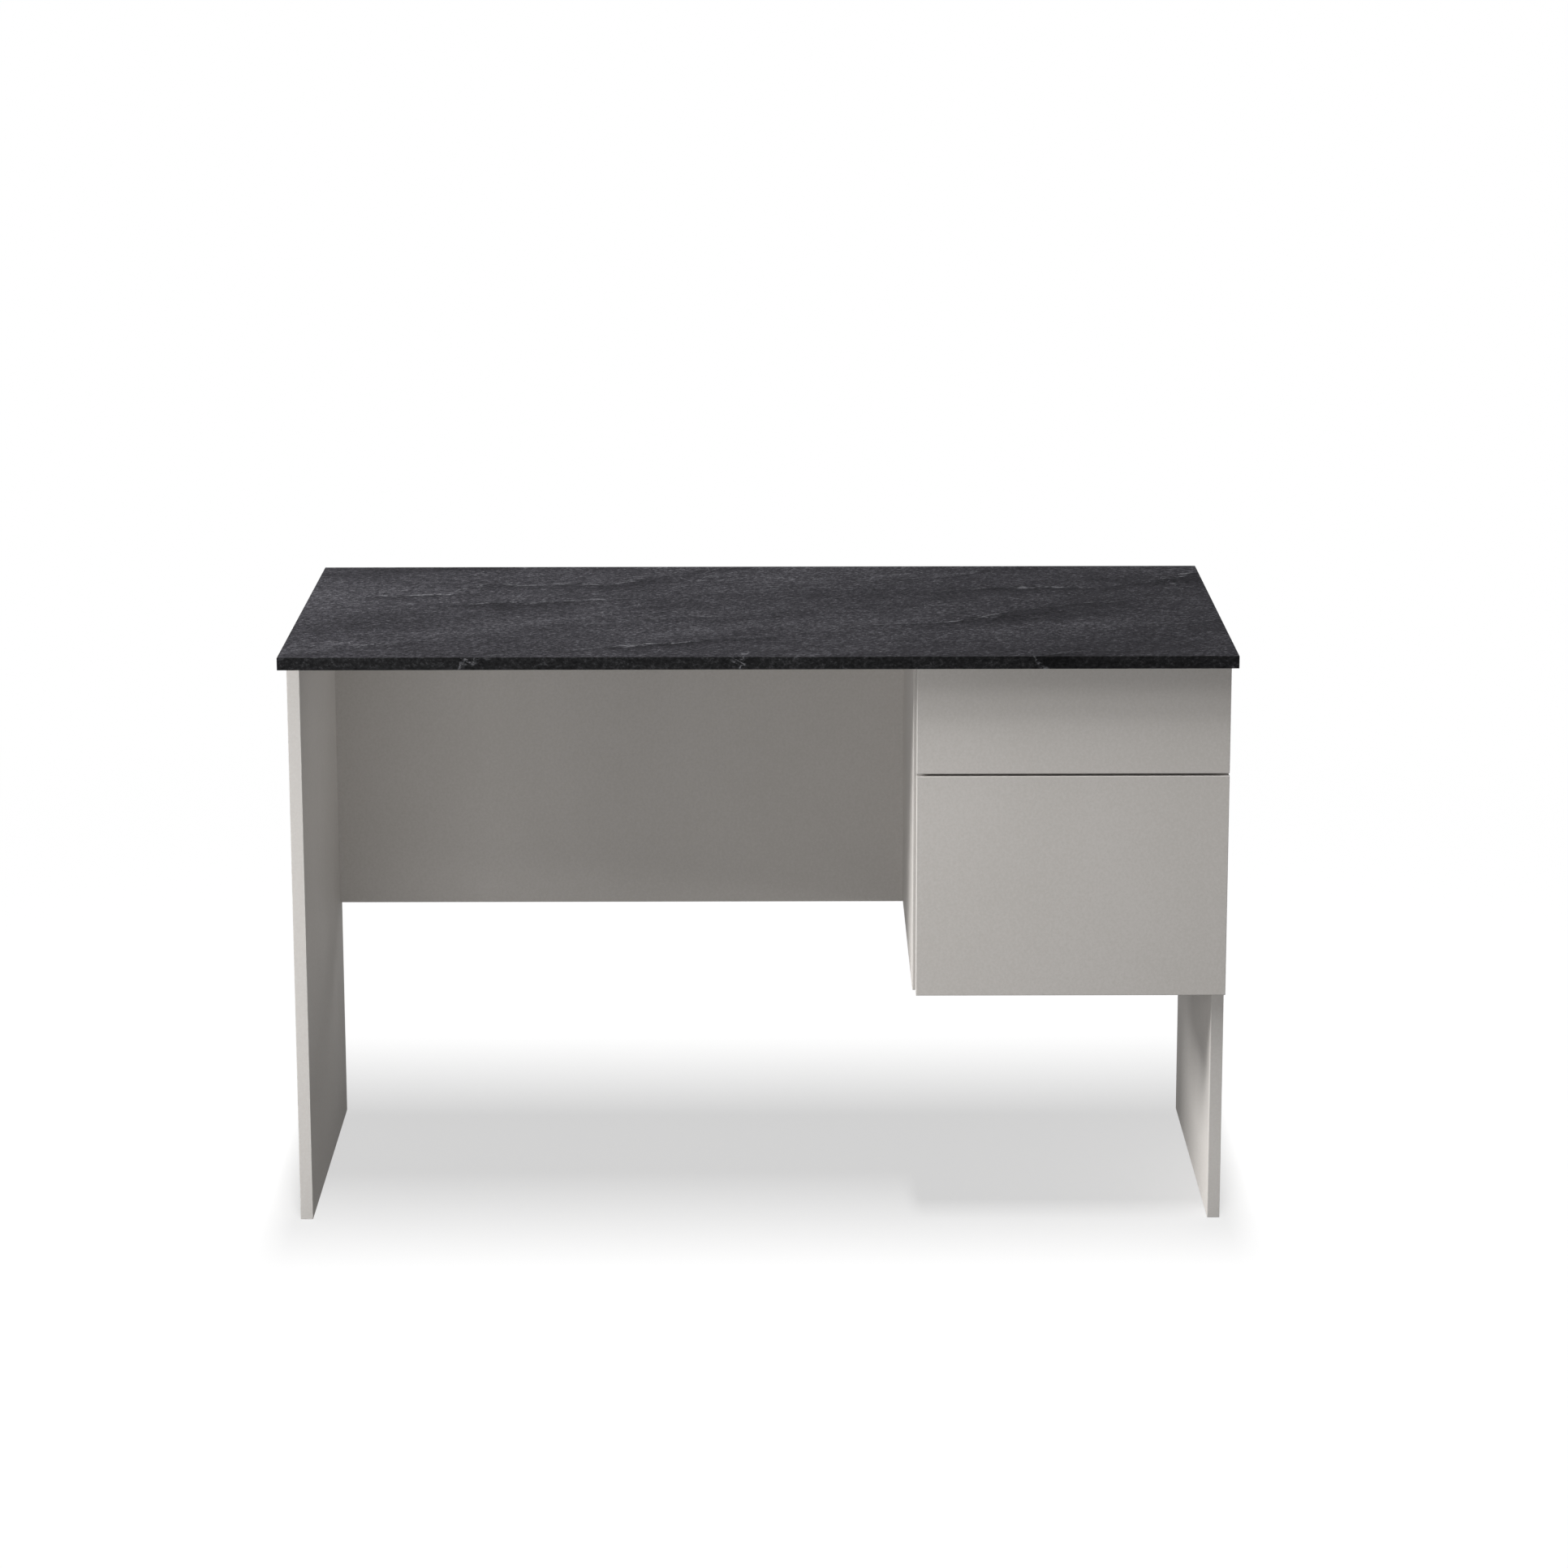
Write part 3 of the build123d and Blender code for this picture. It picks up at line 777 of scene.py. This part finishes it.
def setPanelScrews():  # two into the partition, one into the pedestal's floor
    low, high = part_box("pedestal_partition")
    rows = (backLow.z + fittings["inset"], underTop - fittings["inset"])
    places = [(((low.x + high.x) / 2, backRear, z), rearward, right) for z in rows]
    low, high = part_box("pedestal_floor")
    places.append((((low.x + high.x) / 2, backRear, (low.z + high.z) / 2), rearward, right))
    screws = setInto(makeScrew("panelScrew", panelScrew), "panelScrews", places, "carcass")
    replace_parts(screws, "panel_screws")


def setCamDiscs():  # for each side two in it that hold the top, and one in the back panel beside it
    places = []
    for side, inwards in (("left_side_panel", right), ("right_side_panel", -right)):
        low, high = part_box(side)
        inner = (high if side == "left_side_panel" else low).x
        for y in (low.y + fittings["topCamFront"], backLow.y - fittings["topCamRear"]):
            places.append(((inner, y, underTop - fittings["camReach"]), inwards, -upward))
        beside = inner + inwards.x * fittings["camReach"]
        places.append(((beside, backRear, backLow.z + fittings["inset"]), rearward, inwards))
    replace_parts(setInto(makeCam(), "camDiscs", places, "carcass"), "cam_discs")


setPanelScrews()
setCamDiscs()
print("panel screws and cam discs set")


# Studio: white surround, soft lamps on the desk alone, and one lamp high above for the floor and its shadow
studio = {
    "sky": 0.05, "floorRadius": 60, "floorSides": 64, "floorTone": 0.8, "bounceTone": 0.18,
    "floorGlow": 0.62, "fadeFrom": 1.6, "fadeTo": 2.8,
    "floorLamp": {"place": (0, -1.25, 20), "aim": (0, 0.05, 0), "size": (1.2, 10), "power": 5100},
}
deskLamps = {
    "sideLamp": {
        "place": (-9.03, -1.92, 4.35), "aim": (0.2, -0.2, 0.4), "size": (2.6, 2.6), "power": 1080,
        "skips": ["leftSide"]},
    "overLamp": {
        "place": (0.1, -0.62, 2.6), "aim": (0.1, -0.25, 0.5), "size": (0.9, 0.68), "power": 45,
        "skips": ["leftSide", "desk_top", "topEdging"]},
    "topLamp": {
        "place": (-1.3, 0.3, 2.4), "aim": (-0.4, 0, 0.75), "size": (0.6, 0.6), "power": 25,
        "only": ["desk_top", "topEdging"]},
    "kneeLamp": {"place": (-0.6, -1.2, 0.4), "aim": (-0.1, 0.1, 0.45), "size": (0.8, 0.8), "power": 5.4},
    "lowLamp": {"place": (-1.9, -1.2, 0.5), "aim": (0, -0.1, 0.4), "size": (0.6, 0.6), "power": 4.7},
    "rightLowLamp": {
        "place": (2.2, -1.6, 0.12), "aim": (0.4, -0.2, 0.2), "size": (1.2, 0.2), "power": 6,
        "skips": ["leftSide"]},
    "rightLamp": {
        "place": (2.8, 0.3, 0.8), "aim": (0.6, 0, 0.4), "size": (1.2, 1.2), "power": 23,
        "skips": ["leftSide"]},
    "rightFootLamp": {
        "place": (0.62, -0.55, 0.03), "aim": (0.585, -0.26, 0.05), "size": (0.1, 0.1), "power": 0.11,
        "only": ["rightSide"]},
    "rearLamp": {
        "place": (0, 3.2, 2.2), "aim": (0, 0.2, 0.5), "size": (1.5, 1.5), "power": 66,
        "skips": ["desk_top"]},
    "leftLamp": {
        "place": (-3.6, -1.2, 1.2), "aim": (-0.6, 0, 0.4), "size": (1.2, 1.2), "power": 50,
        "only": ["leftSide"]},
    "leftFill": {
        "place": (-0.1, -0.05, 0.62), "aim": (-0.577, 0, 0.6), "size": (0.3, 0.3), "power": 0.58,
        "only": ["leftSide"]},
}


def grey(tone):
    return (tone, tone, tone, 1.0)


def seen(f):  # 1 where the camera, a reflection or glass looks
    path = [f.node("ShaderNodeLightPath", output=name)
            for name in ("Is Camera Ray", "Is Glossy Ray", "Is Transmission Ray")]
    return f.ease(path[0] + path[1] + path[2])


def makeFloor():
    bpy.ops.object.select_all(action="DESELECT")
    bpy.ops.mesh.primitive_circle_add(
        vertices=studio["floorSides"], radius=studio["floorRadius"], fill_type="NGON", location=(0, 0, 0))
    floor = bpy.context.object
    floor.name = "studioFloor"
    material, f = newFinish("studioFloor")
    reach = f.node("ShaderNodeVectorMath", {"operation": "LENGTH"}, {0: f.place((1, 1, 0))}, "Value")
    fade = f.ease(reach, studio["fadeFrom"], studio["fadeTo"])
    pale = f.node("ShaderNodeBsdfDiffuse", {}, {"Color": grey(studio["floorTone"])})
    bounce = f.node("ShaderNodeBsdfDiffuse", {}, {"Color": grey(studio["bounceTone"])})
    glow = f.node("ShaderNodeEmission", {}, {"Color": grey(1.0), "Strength": 1.0})
    share = studio["floorGlow"] + fade * (1 - studio["floorGlow"])
    white = f.node("ShaderNodeMixShader", {}, {0: share, 1: pale, 2: glow})
    mixed = f.node("ShaderNodeMixShader", {}, {0: seen(f), 1: bounce, 2: white})
    f.node("ShaderNodeOutputMaterial", {}, {"Surface": mixed})
    floor.data.materials.append(material)
    return floor


def makeSky():
    world = bpy.data.worlds.new("studioSky")
    world.use_nodes = True
    bpy.context.scene.world = world
    f = Finish(world.node_tree)
    even = f.node("ShaderNodeBackground", {}, {"Color": grey(1.0), "Strength": studio["sky"]})
    white = f.node("ShaderNodeBackground", {}, {"Color": grey(1.0), "Strength": 1.0})
    mixed = f.node("ShaderNodeMixShader", {}, {0: seen(f), 1: even, 2: white})
    f.node("ShaderNodeOutputWorld", {}, {"Surface": mixed})


# state says whether the lamp lights these pieces alone or leaves them out
def makeLamp(name, lamp, pieces, state):
    bpy.ops.object.light_add(type="AREA", location=lamp["place"])
    made = bpy.context.object
    made.name = name
    made.data.shape = "RECTANGLE"
    made.data.size, made.data.size_y = lamp["size"]
    made.data.energy = lamp["power"]
    made.visible_camera = False
    aim = Vector(lamp["aim"]) - Vector(lamp["place"])
    made.rotation_euler = aim.to_track_quat("-Z", "Y").to_euler()
    linked = bpy.data.collections.new(name + "Pieces")
    for piece in pieces:
        linked.objects.link(piece)
    for entry in linked.collection_objects:
        entry.light_linking.link_state = state
    made.light_linking.receiver_collection = linked


floor = makeFloor()
makeSky()
makeLamp("floorLamp", studio["floorLamp"], [floor], "INCLUDE")
for name, lamp in deskLamps.items():
    pieces = [bpy.data.objects[piece] for piece in lamp.get("only", lamp.get("skips", []))]
    if "only" in lamp:
        makeLamp(name, lamp, pieces, "INCLUDE")
    else:
        makeLamp(name, lamp, pieces + [floor], "EXCLUDE")
print("studio lit with", len(deskLamps) + 1, "lamps")


# Camera: long lens a little above the desk, in front of it
view = {
    "place": (0.02846, -5.63887, 1.88603), "down": 12.23, "turn": -0.04, "roll": -0.11,
    "lens": 100.61, "sensor": 36, "shift": -0.0704, "clipEnd": 200,
}


def rotation(degrees, letter):
    return Matrix.Rotation(math.radians(degrees), 3, letter)


bpy.ops.object.camera_add(location=view["place"])
camera = bpy.context.object
camera.name = "frontCamera"
aim = rotation(view["turn"], "Z") @ rotation(90 - view["down"], "X") @ rotation(view["roll"], "Z")
camera.rotation_euler = aim.to_euler()
camera.data.sensor_width = view["sensor"]
camera.data.lens = view["lens"]
camera.data.shift_y = view["shift"]
camera.data.clip_end = view["clipEnd"]
bpy.context.scene.camera = camera
bpy.context.scene.view_settings.view_transform = "Standard"
print("camera set")
